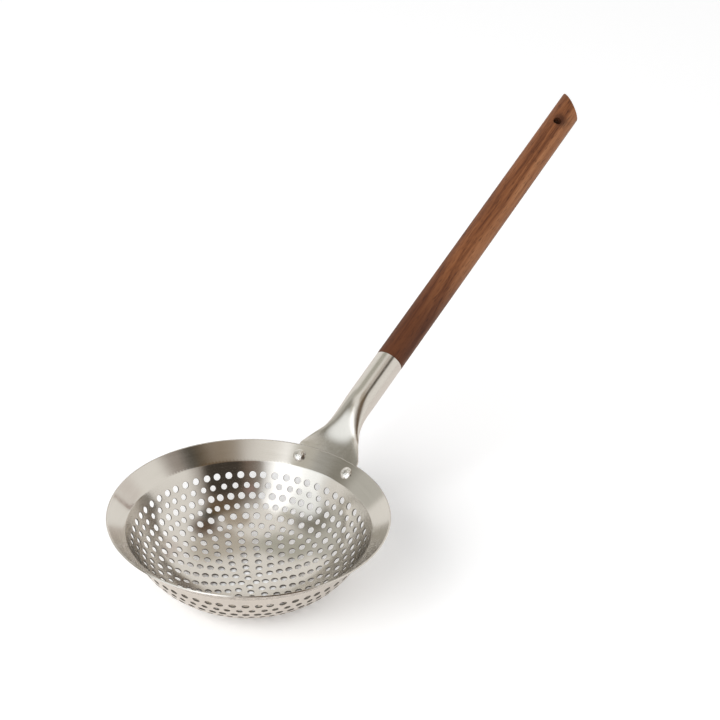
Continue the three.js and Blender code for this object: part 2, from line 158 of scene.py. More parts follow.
# Handle: a round rod flush with the tube, with a tenon inside it and a slanted tip
HANDLE_DIAMETER = 17.4 * MM
HANDLE_TIP_DIAMETER = 17.1 * MM
HANDLE_LENGTH = 229 * MM
TENON_LENGTH = 26 * MM
TENON_GAP = 0.3 * MM
HANDLE_EDGE = 0.3 * MM
TIP_EDGE = 0.25 * MM
TIP_CUT = radians(35.8)
TIP_ROLL = radians(6)
HANG_HOLE = 5 * MM
HANG_HOLE_INSET = 20.2 * MM
HANG_HOLE_ROLL = radians(20)
HANG_HOLE_STEPS = 36
HANDLE_COLUMNS = 72
HANDLE_ROWS = 80
HANDLE_SEAM_ROLL = HANG_HOLE_ROLL - pi / 2
TIP_CAP_RINGS = 5

# A profile's corner that bends less than this stays a smooth bend
SMOOTH_BEND = radians(25)

# Name of the mesh attribute that is 1 on the walls of punched holes
PUNCHED = "punched"


class Skin:
    """Points with their normals, the faces between them and the points on the walls of punched holes."""

    def __init__(self):
        self.points = []
        self.normals = []
        self.faces = []
        self.punched = []

    def add(self, point, normal):
        self.points.append(point)
        self.normals.append(normal.normalized())
        return len(self.points) - 1

    def bridge(self, one, other):
        """Joins two closed rings of as many points."""
        for step in range(len(one)):
            after = (step + 1) % len(one)
            self.faces.append((one[step], one[after], other[after], other[step]))

    def close(self, ring, point, normal):
        """Closes a ring to one point."""
        middle = self.add(point, normal)
        for step in range(len(ring)):
            self.faces.append((ring[step], ring[(step + 1) % len(ring)], middle))

    def outward(self, face):
        """The face's corners in the order that faces along their normals."""
        a, b, c = (self.points[corner] for corner in face[:3])
        lean = sum((self.normals[corner] for corner in face), Vector((0, 0, 0)))
        return face if (b - a).cross(c - b).dot(lean) > 0 else face[::-1]

    def piece(self, name, material, place=Matrix.Identity(4)):
        mesh = bpy.data.meshes.new(name)
        mesh.from_pydata(self.points, [], [self.outward(face) for face in self.faces])
        mesh.polygons.foreach_set("use_smooth", [True] * len(mesh.polygons))
        mesh.normals_split_custom_set_from_vertices(self.normals)
        mesh.materials.append(material)
        punched = mesh.attributes.new(PUNCHED, "FLOAT", "POINT")
        for number in self.punched:
            punched.data[number].value = 1
        body = bpy.data.objects.new(name, mesh)
        body.matrix_world = place
        bpy.context.scene.collection.objects.link(body)
        return body


def triangulate(loops, fill):
    """Flat points of the loops and the fill, and the triangles between them, open inside each loop
    but the first, which goes round them all."""
    flat = [Vector(point) for loop in loops for point in loop] + [Vector(point) for point in fill]
    owner = [number for number, loop in enumerate(loops) for _ in loop]
    owner += [None] * len(fill)
    edges = []
    start = 0
    for loop in loops:
        edges += [(start + step, start + (step + 1) % len(loop)) for step in range(len(loop))]
        start += len(loop)
    _, _, faces, sources, _, _ = delaunay_2d_cdt(flat, edges, [], 0, MERGE_DISTANCE)
    triangles = []
    for face in faces:
        a, b, c = (sources[corner][0] for corner in face)
        in_hole = owner[a] == owner[b] == owner[c] and owner[a]
        area = abs((flat[b] - flat[a]).cross(flat[c] - flat[a])) / 2
        if not in_hole and area > SMALLEST_AREA:
            triangles.append((a, b, c))
    return flat, triangles


# A sheet's point() takes a flat point and a depth under its upper side, and normal() a flat point
Sheet = namedtuple("Sheet", "thickness edge point normal")
Loop = namedtuple("Loop", "edge seat")


def add_sheet(skin, sheet, loops, fill):
    """Adds both sides of a sheet and its edges, rounded between each loop's seat and its edge. The
    first loop is the outline, and the others are punched holes."""
    flat, triangles = triangulate([loop.seat for loop in loops], fill)
    upper = [skin.add(sheet.point(uv, 0), sheet.normal(uv)) for uv in flat]
    lower = [skin.add(sheet.point(uv, sheet.thickness), -sheet.normal(uv)) for uv in flat]
    for a, b, c in triangles:
        skin.faces.append((upper[a], upper[b], upper[c]))
        skin.faces.append((lower[a], lower[b], lower[c]))
    start = 0
    for edge, seat in loops:
        end = start + len(seat)
        rings = [upper[start:end]]
        for depth in (sheet.edge, sheet.thickness - sheet.edge):
            ring = []
            for out, back in zip(edge, seat):
                point = sheet.point(out, depth)
                ring.append(skin.add(point, point - sheet.point(back, depth)))
            rings.append(ring)
            if start > 0:
                skin.punched += ring
        rings.append(lower[start:end])
        for one, other in zip(rings, rings[1:]):
            skin.bridge(one, other)
        start = end


def spaced(start, end, pitch):
    """Evenly spaced values from start, the end left out."""
    count = max(ceil(abs(end - start) / pitch), 1)
    return [start + (end - start) * step / count for step in range(count)]


def polar(radius, angle, height):
    return Vector((radius * sin(angle), radius * cos(angle), height))


# Bowl profile: the inside line from the middle of the floor to the rim, as runs of equal bend
CREASE_RADIUS = RIM_RADIUS - FLANGE_WIDTH
DISH_SPAN = CREASE_RADIUS - WALL_STRAIGHT * cos(WALL_SLOPE) - BASE_FLAT_RADIUS
DISH_END_SLOPE = asin((DISH_SPAN - KNUCKLE_RADIUS * sin(WALL_SLOPE)) / (DISH_RADIUS - KNUCKLE_RADIUS))
RIM_INSIDE_RADIUS = RIM_RADIUS - BOWL_SHEET * sin(FLANGE_SLOPE)
FLANGE_LENGTH = (RIM_INSIDE_RADIUS - CREASE_RADIUS) / cos(FLANGE_SLOPE)
CREASE_TRIM = CREASE_ROUND * tan((WALL_SLOPE - FLANGE_SLOPE) / 2)
FLOOR_RUNS = (
    (BASE_FLAT_RADIUS, 0),
    (DISH_END_SLOPE * DISH_RADIUS, 1 / DISH_RADIUS),
    ((WALL_SLOPE - DISH_END_SLOPE) * KNUCKLE_RADIUS, 1 / KNUCKLE_RADIUS),
)
RIM_RUNS = (
    (WALL_STRAIGHT - CREASE_TRIM, 0),
    ((WALL_SLOPE - FLANGE_SLOPE) * CREASE_ROUND, -1 / CREASE_ROUND),
    (FLANGE_LENGTH - CREASE_TRIM, 0),
)
CREASE_ARC = sum(length for length, _ in FLOOR_RUNS) + WALL_STRAIGHT
CREASE_ROUND_ARC = CREASE_ARC - CREASE_TRIM
FLANGE_ARC = CREASE_ROUND_ARC + RIM_RUNS[1][0]
RIM_ARC = FLANGE_ARC + RIM_RUNS[2][0]


def bowl_profile(arc):
    """Radius, height and slope of the bowl's inside at an arc length from the middle."""
    radius, height, slope = 0, BOWL_SHEET, 0
    left = arc
    for length, bend in FLOOR_RUNS + RIM_RUNS:
        run = min(left, length)
        left -= run
        if bend:
            end = slope + run * bend
            radius += (sin(end) - sin(slope)) / bend
            height += (cos(slope) - cos(end)) / bend
            slope = end
        else:
            radius += run * cos(slope)
            height += run * sin(slope)
    return radius + left * cos(slope), height + left * sin(slope), slope


# The bowl's flat points have the arc length as their distance from zero and the angle as it is
def bowl_point(uv, depth):
    radius, height, slope = bowl_profile(hypot(*uv))
    return polar(radius + depth * sin(slope), atan2(*uv), height - depth * cos(slope))


def bowl_normal(uv):
    slope = bowl_profile(hypot(*uv))[2]
    return polar(-sin(slope), atan2(*uv), cos(slope))


def on_disc(arc, angle):
    return Vector((arc * sin(angle), arc * cos(angle)))


def flange_arc(radius):
    return RIM_ARC - (RIM_INSIDE_RADIUS - radius) / cos(FLANGE_SLOPE)


def flange_height(radius):
    return bowl_profile(flange_arc(radius))[1]


FAN_START_RADIUS = CREASE_RADIUS + FAN_INSET
RIVET_RADIUS = FAN_START_RADIUS + RIVET_END_INSET
RIVET_ANGLE = asin((FAN_WIDTH / 2 - RIVET_SIDE_INSET) / RIVET_RADIUS)
Hole = namedtuple("Hole", "arc angle radius")


def floor_holes():
    holes = []
    for ring in range(FLOOR_RINGS):
        count = FLOOR_SPOKES * (ring + 1)
        for step in range(count):
            angle = FLOOR_SPOKE_ANGLE + FULL_TURN * step / count
            holes.append(Hole(FLOOR_RING_START + ring * FLOOR_RING_PITCH, angle, FLOOR_HOLE / 2))
    return holes


def wall_holes():
    holes = []
    for number, row in enumerate(WALL_ROWS):
        arc = CREASE_ARC - WALL_ROW_INSET - number * WALL_ROW_PITCH
        for group in range(WALL_GROUPS):
            middle = WALL_GROUP_ANGLE + FULL_TURN * group / WALL_GROUPS
            for step in range(row.per_group):
                angle = middle + row.pitch * (step - (row.per_group - 1) / 2 + row.stagger)
                holes.append(Hole(arc, angle, row.diameter / 2))
    return holes


def rivet_holes():
    arc = flange_arc(RIVET_RADIUS)
    return [Hole(arc, side * RIVET_ANGLE, RIVET_HOLE / 2) for side in (-1, 1)]


def hole_stretch(hole):
    """How much wider the flat bowl is than the real one, around a hole."""
    return hole.arc / bowl_profile(hole.arc)[0]


def hole_ring(hole, radius):
    middle = on_disc(hole.arc, hole.angle)
    outward = on_disc(1, hole.angle)
    around = on_disc(1, hole.angle + pi / 2) * hole_stretch(hole)
    turns = [FULL_TURN * step / HOLE_STEPS for step in range(HOLE_STEPS)]
    return [middle + outward * (radius * cos(turn)) + around * (radius * sin(turn)) for turn in turns]


def rim_ring(arc):
    return [on_disc(arc, FULL_TURN * step / RIM_STEPS) for step in range(RIM_STEPS)]


def bowl_fill(holes):
    """Rings of points between the holes."""
    centres = KDTree(len(holes))
    for number, hole in enumerate(holes):
        centres.insert(on_disc(hole.arc, hole.angle).to_3d(), number)
    centres.balance()
    arcs = spaced(BOWL_RING_PITCH, CREASE_ROUND_ARC, BOWL_RING_PITCH)
    arcs += spaced(CREASE_ROUND_ARC, FLANGE_ARC, (FLANGE_ARC - CREASE_ROUND_ARC) / CREASE_RINGS)
    arcs += spaced(FLANGE_ARC, RIM_ARC - RIM_EDGE, BOWL_RING_PITCH)
    fill = [Vector((0, 0))]
    for arc in arcs:
        count = ceil(FULL_TURN * bowl_profile(arc)[0] / BOWL_RING_STEP)
        for step in range(count):
            point = on_disc(arc, FULL_TURN * step / count)
            _, nearest, distance = centres.find(point.to_3d())
            hole = holes[nearest]
            if distance > hole.radius * hole_stretch(hole) + HOLE_MARGIN:
                fill.append(point)
    return fill


def make_bowl(material):
    holes = floor_holes() + wall_holes() + rivet_holes()
    loops = [Loop(rim_ring(RIM_ARC), rim_ring(RIM_ARC - RIM_EDGE))]
    for hole in holes:
        loops.append(Loop(hole_ring(hole, hole.radius), hole_ring(hole, hole.radius + BOWL_EDGE)))
    skin = Skin()
    add_sheet(skin, Sheet(BOWL_SHEET, BOWL_EDGE, bowl_point, bowl_normal), loops, bowl_fill(holes))
    return skin.piece("bowl_sheet", material)


# Socket: middle surface of the sheet. Its flat points run across from -FAN_WIDTH / 2 and along the
# sheet from the fan's inner end, under the flange, past zero at the rim to the end of the tube.
TUBE_MIDDLE_RADIUS = (HANDLE_DIAMETER - SOCKET_SHEET) / 2
FAN_DEPTH = BOWL_SHEET + SEAT_GAP + SOCKET_SHEET / 2
SOCKET_REACH = FLARE_LENGTH + TUBE_LENGTH
BEND_FLANGE_RADIUS = RIM_INSIDE_RADIUS + FAN_OVERHANG
BEND_RADIUS = BEND_FLANGE_RADIUS + FAN_DEPTH * sin(FLANGE_SLOPE)
BEND_HEIGHT = flange_height(BEND_FLANGE_RADIUS) - FAN_DEPTH * cos(FLANGE_SLOPE)
FAN_LENGTH = (BEND_FLANGE_RADIUS - FAN_START_RADIUS) / cos(FLANGE_SLOPE)
FAN_PITCH = tan(FLANGE_SLOPE - HANDLE_SLOPE)
ALONG = Vector((0, cos(HANDLE_SLOPE), sin(HANDLE_SLOPE)))
ABOVE = Vector((0, -sin(HANDLE_SLOPE), cos(HANDLE_SLOPE)))


def smoothstep(value, low, high):
    share = min(max((value - low) / (high - low), 0), 1)
    return share * share * (3 - 2 * share)


def fan_point(across, along):
    flange_radius = BEND_FLANGE_RADIUS + along * cos(FLANGE_SLOPE)
    radius = flange_radius + FAN_DEPTH * sin(FLANGE_SLOPE)
    height = flange_height(flange_radius) - FAN_DEPTH * cos(FLANGE_SLOPE)
    return Vector((across, sqrt(radius * radius - across * across), height))


def bent(distance, bend):
    """How far a line has turned aside, at a distance past the start of a bend to a slope of one."""
    past = max(distance, 0)
    return past * past / (2 * bend) if past < bend else past - bend / 2


def drawn_in(along):
    """Share of the way from the fan's width to the tube's."""
    settle_start = FLARE_LENGTH - SIDE_SETTLE
    way_in = FLARE_LENGTH - SIDE_SETTLE / 2 - SIDE_BEND / 2
    return (bent(along, SIDE_BEND) - bent(along - settle_start, SIDE_SETTLE)) / way_in


def top_line(along):
    """Height of the flare's top line: the fan's own slope, then a steeper ramp, then the tube's top."""
    tube_top = 2 * TUBE_MIDDLE_RADIUS - SOCKET_DROP
    crest_start = FLARE_LENGTH - CREST_BEND
    ramp_middle = RAMP_START + RAMP_BEND / 2
    crest_middle = crest_start + CREST_BEND / 2
    ramp_pitch = (tube_top - FAN_PITCH * ramp_middle) / (crest_middle - ramp_middle)
    return (
        FAN_PITCH * along
        + (ramp_pitch - FAN_PITCH) * bent(along - RAMP_START, RAMP_BEND)
        - ramp_pitch * bent(along - crest_start, CREST_BEND)
    )


def roll_point(across_flat, along):
    """A point past the rim, where the sheet's middle rises to the tube's top and its sides roll down."""
    settled = smoothstep(along, KEEL_START, FLARE_LENGTH)
    lower = (1 - settled) * FAN_PITCH * (along - bent(along, FAN_BEND)) - settled * SOCKET_DROP
    side = drawn_in(along)
    roll = across_flat / FAN_WIDTH * (FULL_TURN - SEAM_GAP / TUBE_MIDDLE_RADIUS)
    across = (1 - side) * across_flat + side * TUBE_MIDDLE_RADIUS * sin(roll)
    back = (1 - settled) * (BEND_RADIUS - sqrt(BEND_RADIUS * BEND_RADIUS - across * across))
    arch = lower + (top_line(along) - lower) * (1 + cos(roll)) / 2
    # Where the sides are half rolled, their edges turn down a little, so that the sheet has no fold
    half_rolled = 4 * side * (1 - side)
    arch -= half_rolled * SIDE_TURN_DOWN * (2 * across_flat / FAN_WIDTH) ** SIDE_TURN_POWER
    corner = Vector((across, BEND_RADIUS, BEND_HEIGHT))
    return (
        corner
        + ALONG * (along - back * cos(HANDLE_SLOPE))
        + ABOVE * (arch + back * sin(HANDLE_SLOPE))
    )


def socket_middle(across, along):
    return roll_point(across, along) if along > 0 else fan_point(across, along)


def socket_normal(uv):
    across, along = uv
    sideways = socket_middle(across + SLOPE_STEP, along) - socket_middle(across - SLOPE_STEP, along)
    lengthways = socket_middle(across, along + SLOPE_STEP) - socket_middle(across, along - SLOPE_STEP)
    return sideways.cross(lengthways).normalized()


def socket_point(uv, depth):
    return socket_middle(*uv) + socket_normal(uv) * (SOCKET_SHEET / 2 - depth)


def socket_outline():
    """Points of the flat sheet's outline, each with the direction into the sheet."""
    half = FAN_WIDTH / 2
    low = -FAN_LENGTH
    outline = [(Vector((half, SOCKET_REACH)), Vector((-1, -1)))]
    heights = spaced(SOCKET_REACH, FLARE_LENGTH, TUBE_STEP)[1:]
    heights += spaced(FLARE_LENGTH, low + FAN_CORNER, SOCKET_STEP)
    outline += [(Vector((half, height)), Vector((-1, 0))) for height in heights]
    for side in (1, -1):
        middle = Vector((side * (half - FAN_CORNER), low + FAN_CORNER))
        for step in range(FAN_CORNER_STEPS + 1):
            turn = pi / 2 * (step if side > 0 else FAN_CORNER_STEPS - step) / FAN_CORNER_STEPS
            inward = Vector((-side * cos(turn), sin(turn)))
            outline.append((middle - inward * FAN_CORNER, inward))
        if side > 0:
            across = spaced(half - FAN_CORNER, FAN_CORNER - half, SOCKET_STEP)[1:]
            outline += [(Vector((place, low)), Vector((0, 1))) for place in across]
    outline += [(Vector((-half, height)), Vector((1, 0))) for height in reversed(heights)]
    outline.append((Vector((-half, SOCKET_REACH)), Vector((1, -1))))
    across = spaced(-half, half, SOCKET_STEP)[1:]
    outline += [(Vector((place, SOCKET_REACH)), Vector((0, -1))) for place in across]
    return outline


def socket_rivet_rings():
    rivet_across = (RIVET_RADIUS + FAN_DEPTH * sin(FLANGE_SLOPE)) * sin(RIVET_ANGLE)
    rivet_along = (RIVET_RADIUS - BEND_FLANGE_RADIUS) / cos(FLANGE_SLOPE)
    middles = [Vector((side * rivet_across, rivet_along)) for side in (-1, 1)]

    def ring(middle, radius):
        turns = [FULL_TURN * step / HOLE_STEPS for step in range(HOLE_STEPS)]
        return [middle + Vector((radius * cos(turn), radius * sin(turn))) for turn in turns]

    loops = [Loop(ring(m, RIVET_HOLE / 2), ring(m, RIVET_HOLE / 2 + SOCKET_EDGE)) for m in middles]
    return middles, loops


def socket_fill(rivets):
    """A grid of points inside the outline, clear of the rivet holes and the fan's round corners."""
    half = FAN_WIDTH / 2
    rows = spaced(-FAN_LENGTH, 0, SOCKET_STEP)[1:]
    rows += spaced(0, FLARE_LENGTH, SOCKET_STEP) + spaced(FLARE_LENGTH, SOCKET_REACH, TUBE_STEP)
    clear = RIVET_HOLE / 2 + HOLE_MARGIN
    corner_middle = Vector((half - FAN_CORNER, FAN_CORNER - FAN_LENGTH))
    fill = []
    for along in rows:
        for across in spaced(-half, half, SOCKET_STEP)[1:]:
            point = Vector((across, along))
            past = Vector((abs(across), along)) - corner_middle
            cut_off = past.x > 0 and past.y < 0 and past.length > FAN_CORNER - SOCKET_STEP
            if not cut_off and all((point - rivet).length > clear for rivet in rivets):
                fill.append(point)
    return fill


def make_socket(material):
    outline = socket_outline()
    edge = [point for point, _ in outline]
    seat = [point + inward * SOCKET_EDGE for point, inward in outline]
    rivets, loops = socket_rivet_rings()
    skin = Skin()
    sheet = Sheet(SOCKET_SHEET, SOCKET_EDGE, socket_point, socket_normal)
    add_sheet(skin, sheet, [Loop(edge, seat)] + loops, socket_fill(rivets))
    return skin.piece("socket_sheet", material)


def rounded_profile(corners, edge):
    """Points of a profile with their normals, with each sharp corner cut to an edge."""
    rounded = []
    for before, corner, after in zip(corners, corners[1:], corners[2:]):
        run_in = (corner - before).normalized()
        run_out = (after - corner).normalized()
        normals = [Vector((run.y, -run.x)) for run in (run_in, run_out)]
        if run_in.dot(run_out) > cos(SMOOTH_BEND):
            rounded.append((corner, normals[0] + normals[1]))
        else:
            rounded.append((corner - run_in * edge, normals[0]))
            rounded.append((corner + run_out * edge, normals[1]))
    return rounded


def rivet_profile():
    """Radius and height from the tail to the top of the dome, with zero at the top of the flange."""
    tail_top = -BOWL_SHEET - SOCKET_SHEET - 2 * SEAT_GAP
    tail_low = tail_top - RIVET_TAIL_HEIGHT
    dome_rise = RIVET_HEAD_HEIGHT - RIVET_LIP
    dome_radius = ((RIVET_HEAD / 2) ** 2 + dome_rise ** 2) / (2 * dome_rise)
    dome_angle = asin(RIVET_HEAD / 2 / dome_radius)
    corners = [
        (0, tail_low),
        (RIVET_TAIL / 2 - RIVET_TAIL_HEIGHT / 2, tail_low),
        (RIVET_TAIL / 2, tail_low + RIVET_TAIL_HEIGHT / 2),
        (RIVET_TAIL / 2, tail_top),
        (RIVET_SHANK / 2, tail_top),
        (RIVET_SHANK / 2, SEAT_GAP),
        (RIVET_HEAD / 2, SEAT_GAP),
    ]
    for step in range(RIVET_DOME_STEPS + 1):
        turn = dome_angle * (1 - step / RIVET_DOME_STEPS)
        height = SEAT_GAP + RIVET_HEAD_HEIGHT - dome_radius * (1 - cos(turn))
        corners.append((dome_radius * sin(turn), height))
    return [Vector(corner) for corner in corners]


def make_rivet(name, side, material):
    angle = side * RIVET_ANGLE
    place = Matrix.Translation(polar(RIVET_RADIUS, angle, flange_height(RIVET_RADIUS)))
    axis = polar(-sin(FLANGE_SLOPE), angle, cos(FLANGE_SLOPE))
    place = place @ axis.to_track_quat("Z", "Y").to_matrix().to_4x4()
    corners = rivet_profile()
    skin = Skin()
    rings = []
    for point, normal in rounded_profile(corners, RIVET_EDGE):
        ring = []
        for step in range(RIVET_STEPS):
            turn = FULL_TURN * step / RIVET_STEPS
            ring.append(skin.add(polar(point.x, turn, point.y), polar(normal.x, turn, normal.y)))
        rings.append(ring)
    for one, other in zip(rings, rings[1:]):
        skin.bridge(one, other)
    skin.close(rings[0], polar(0, 0, corners[0].y), Vector((0, 0, -1)))
    skin.close(rings[-1], polar(0, 0, corners[-1].y), Vector((0, 0, 1)))
    return skin.piece(name, material, place)


# Handle: its own Y runs along the rod from the tube's end, its Z is the rod's upper side, and a
# roll is an angle about Y from Z towards X.
HANDLE_MOUTH = Vector((0, BEND_RADIUS, BEND_HEIGHT)) + ALONG * SOCKET_REACH + ABOVE * (
    TUBE_MIDDLE_RADIUS - SOCKET_DROP
)
HANDLE_PLACE = Matrix.Translation(HANDLE_MOUTH) @ Matrix.Rotation(HANDLE_SLOPE, 4, "X")
HANDLE_TAPER = (HANDLE_DIAMETER - HANDLE_TIP_DIAMETER) / 2 / HANDLE_LENGTH
TENON_RADIUS = HANDLE_DIAMETER / 2 - SOCKET_SHEET - TENON_GAP
ROD_START = SEAT_GAP + HANDLE_EDGE
HANG_HOLE_PLACE = HANDLE_LENGTH - HANG_HOLE_INSET
TIP_NORMAL = Vector((sin(TIP_CUT) * cos(TIP_ROLL), cos(TIP_CUT), -sin(TIP_CUT) * sin(TIP_ROLL)))


def rod_radius(along):
    return HANDLE_DIAMETER / 2 - HANDLE_TAPER * along


def around(radius, roll, along):
    return Vector((radius * sin(roll), along, radius * cos(roll)))


def tip_end(radius, roll):
    """Where a line at this radius and roll meets the slanted cut."""
    return HANDLE_LENGTH - radius * tan(TIP_CUT) * sin(roll - TIP_ROLL)


def rod_end(roll):
    return tip_end(HANDLE_TIP_DIAMETER / 2, roll) - TIP_EDGE


def hang_hole_mouth(radius, far):
    """Rolls and places along the rod of one mouth of the hang hole, in step with the other mouth."""
    places = []
    for step in range(HANG_HOLE_STEPS):
        turn = FULL_TURN * step / HANG_HOLE_STEPS
        along = HANG_HOLE_PLACE + radius * sin(turn)
        lean = asin(radius * cos(turn) / rod_radius(along))
        places.append((HANG_HOLE_ROLL + (pi - lean if far else lean), along))
    return places


def rod_flat(roll, along):
    """Flat point of the rod's surface, whose upper edge is straight though the tip is slanted."""
    share = (along - ROD_START) / (rod_end(roll) - ROD_START)
    return Vector(((roll - HANDLE_SEAM_ROLL) * HANDLE_DIAMETER / 2, share * HANDLE_LENGTH))


def column_roll(column):
    return HANDLE_SEAM_ROLL + FULL_TURN * column / HANDLE_COLUMNS


def rod_place(column, row):
    roll = column_roll(column)
    along = ROD_START + (rod_end(roll) - ROD_START) * row / HANDLE_ROWS
    return roll, along


def add_rod(skin):
    """Adds the rod's surface with the two mouths of its hang hole. Gives its lower and upper ring."""
    border = [(column, 0) for column in range(HANDLE_COLUMNS)]
    border += [(HANDLE_COLUMNS, row) for row in range(HANDLE_ROWS)]
    border += [(column, HANDLE_ROWS) for column in range(HANDLE_COLUMNS, 0, -1)]
    border += [(0, row) for row in range(HANDLE_ROWS, 0, -1)]
    seats = [hang_hole_mouth(HANG_HOLE / 2 + HANDLE_EDGE, far) for far in (False, True)]
    mouth_rolls = (HANG_HOLE_ROLL, HANG_HOLE_ROLL + pi)
    mouths = [around(rod_radius(HANG_HOLE_PLACE), roll, HANG_HOLE_PLACE) for roll in mouth_rolls]
    inner = []
    for row in range(1, HANDLE_ROWS):
        for column in range(1, HANDLE_COLUMNS):
            roll, along = rod_place(column, row)
            point = around(rod_radius(along), roll, along)
            if all((point - mouth).length > HANG_HOLE / 2 + HOLE_MARGIN for mouth in mouths):
                inner.append((column, row))
    loops = [[rod_flat(*rod_place(*cell)) for cell in border]]
    loops += [[rod_flat(*place) for place in seat] for seat in seats]
    _, triangles = triangulate(loops, [rod_flat(*rod_place(*cell)) for cell in inner])

    def add(roll, along):
        return skin.add(around(rod_radius(along), roll, along), around(1, roll, 0))

    cells = {}
    for column, row in border + inner:
        cell = (column % HANDLE_COLUMNS, row)
        if cell not in cells:
            cells[cell] = add(*rod_place(*cell))
    seat_rings = [[add(*place) for place in seat] for seat in seats]
    numbers = [cells[column % HANDLE_COLUMNS, row] for column, row in border]
    numbers += seat_rings[0] + seat_rings[1]
    numbers += [cells[cell] for cell in inner]
    skin.faces += [tuple(numbers[corner] for corner in triangle) for triangle in triangles]
    add_hang_hole(skin, seat_rings)
    lower, upper = ([cells[column, row] for column in range(HANDLE_COLUMNS)] for row in (0, HANDLE_ROWS))
    return lower, upper


def add_hang_hole(skin, seat_rings):
    """Walls the hang hole from one mouth's seat ring to the other's."""
    rings = []
    for far in (False, True):
        ring = []
        for roll, along in hang_hole_mouth(HANG_HOLE / 2, far):
            point = around(rod_radius(along), roll, along)
            axis = around(1, HANG_HOLE_ROLL, 0)
            point -= axis * (HANDLE_EDGE if point.dot(axis) > 0 else -HANDLE_EDGE)
            middle = Vector((0, HANG_HOLE_PLACE, 0)) + axis * point.dot(axis)
            ring.append(skin.add(point, middle - point))
        rings.append(ring)
    skin.bridge(seat_rings[0], rings[0])
    skin.bridge(rings[0], rings[1])
    skin.bridge(rings[1], seat_rings[1])


def add_tip(skin, ring):
    """Closes the rod with a softened edge and the slanted face."""
    rolls = [column_roll(column) for column in range(HANDLE_COLUMNS)]
    tip_radius = HANDLE_TIP_DIAMETER / 2
    soft = TIP_EDGE * (1 - sqrt(0.5))
    edge = []
    for roll in rolls:
        radius = tip_radius - soft
        point = around(radius, roll, tip_end(radius, roll) - soft)
        edge.append(skin.add(point, around(1, roll, 0) + TIP_NORMAL))
    skin.bridge(ring, edge)
    before = edge
    for step in range(TIP_CAP_RINGS):
        radius = (tip_radius - TIP_EDGE) * (1 - step / TIP_CAP_RINGS)
        inner = [skin.add(around(radius, roll, tip_end(radius, roll)), TIP_NORMAL) for roll in rolls]
        skin.bridge(before, inner)
        before = inner
    skin.close(before, Vector((0, HANDLE_LENGTH, 0)), TIP_NORMAL)


def add_tenon(skin, ring):
    """Closes the rod's other end with its shoulder and the tenon inside the tube."""
    rolls = [column_roll(column) for column in range(HANDLE_COLUMNS)]
    corners = [
        (0, -TENON_LENGTH),
        (TENON_RADIUS, -TENON_LENGTH),
        (TENON_RADIUS, SEAT_GAP),
        (HANDLE_DIAMETER / 2, SEAT_GAP),
        (HANDLE_DIAMETER / 2, ROD_START + HANDLE_EDGE),
    ]
    profile = rounded_profile([Vector(corner) for corner in corners], HANDLE_EDGE)[:-1]
    before = ring
    for point, normal in reversed(profile):
        inner = [
            skin.add(around(point.x, roll, point.y), around(normal.x, roll, normal.y)) for roll in rolls
        ]
        skin.bridge(before, inner)
        before = inner
    skin.close(before, Vector((0, -TENON_LENGTH, 0)), Vector((0, -1, 0)))


def make_handle(material):
    skin = Skin()
    lower, upper = add_rod(skin)
    add_tip(skin, upper)
    add_tenon(skin, lower)
    return skin.piece("walnut_handle", material, HANDLE_PLACE)


class Nodes:
    """Shader nodes of one material or world, made and linked in one call each."""

    def __init__(self, owner):
        owner.use_nodes = True
        self.tree = owner.node_tree
        self.tree.nodes.clear()

    def add(self, kind, inputs=None, **settings):
        node = self.tree.nodes.new(kind)
        for name, value in settings.items():
            setattr(node, name, value)
        for name, value in (inputs or {}).items():
            self.put(node.inputs[name], value)
        return node

    def put(self, socket, value):
        if isinstance(value, bpy.types.NodeSocket):
            self.tree.links.new(value, socket)
        else:
            socket.default_value = value

    def surface(self, inputs):
        shader = self.add("ShaderNodeBsdfPrincipled", inputs)
        self.add("ShaderNodeOutputMaterial", {"Surface": shader.outputs[0]})

    def math(self, operation, one, other=0.0):
        return self.add("ShaderNodeMath", {0: one, 1: other}, operation=operation).outputs[0]

    def total(self, shares):
        """Sum of values, each times its share."""
        one, *others = (self.math("MULTIPLY", value, share) for value, share in shares)
        for other in others:
            one = self.math("ADD", one, other)
        return one

    def ramp(self, value, stops):
        node = self.add("ShaderNodeValToRGB", {"Fac": value})
        elements = node.color_ramp.elements
        while len(elements) < len(stops):
            elements.new(1)
        for element, (place, colour) in zip(elements, stops):
            element.position = place
            element.color = (*colour, 1)
        return node.outputs["Color"]


def material_of(name):
    material = bpy.data.materials.new(name)
    return material, Nodes(material)


# Colours, linear
STEEL = (0.69, 0.654, 0.605)
STEEL_DULL = (0.655, 0.619, 0.571)
# Walls of the punched holes: dull cut steel, made far darker than the steel with painted shade
CUT_STEEL_AND_PAINTED_SHADE = (0.17, 0.155, 0.135)
RIVET_STEEL = (0.83, 0.8, 0.76)
RIVET_DULL = (0.66, 0.63, 0.59)
WALNUT_PALE = (0.385, 0.172, 0.074)
WALNUT_LIGHT = (0.305, 0.123, 0.049)
WALNUT_MIDDLE = (0.198, 0.071, 0.027)
WALNUT_DARK = (0.07, 0.021, 0.009)
WALNUT_PORE = (0.03, 0.01, 0.006)
WALNUT_STAIN = (0.055, 0.018, 0.008)


def position(nodes):
    """A point on the piece in its own frame, in metres."""
    return nodes.add("ShaderNodeTexCoord").outputs["Object"]


def scaled(nodes, vector, scale):
    return nodes.add("ShaderNodeVectorMath", {0: vector, 1: scale}, operation="MULTIPLY").outputs[0]


def noise(nodes, vector, detail=2.0, roughness=0.5):
    inputs = {"Vector": vector, "Scale": 1.0, "Detail": detail, "Roughness": roughness}
    return nodes.add("ShaderNodeTexNoise", inputs).outputs["Fac"]


def spread(nodes, value, low, high, start=0.0, end=1.0):
    """A value eased from start at low to end at high."""
    inputs = {"Value": value, "From Min": low, "From Max": high, "To Min": start, "To Max": end}
    return nodes.add("ShaderNodeMapRange", inputs, interpolation_type="SMOOTHSTEP").outputs["Result"]


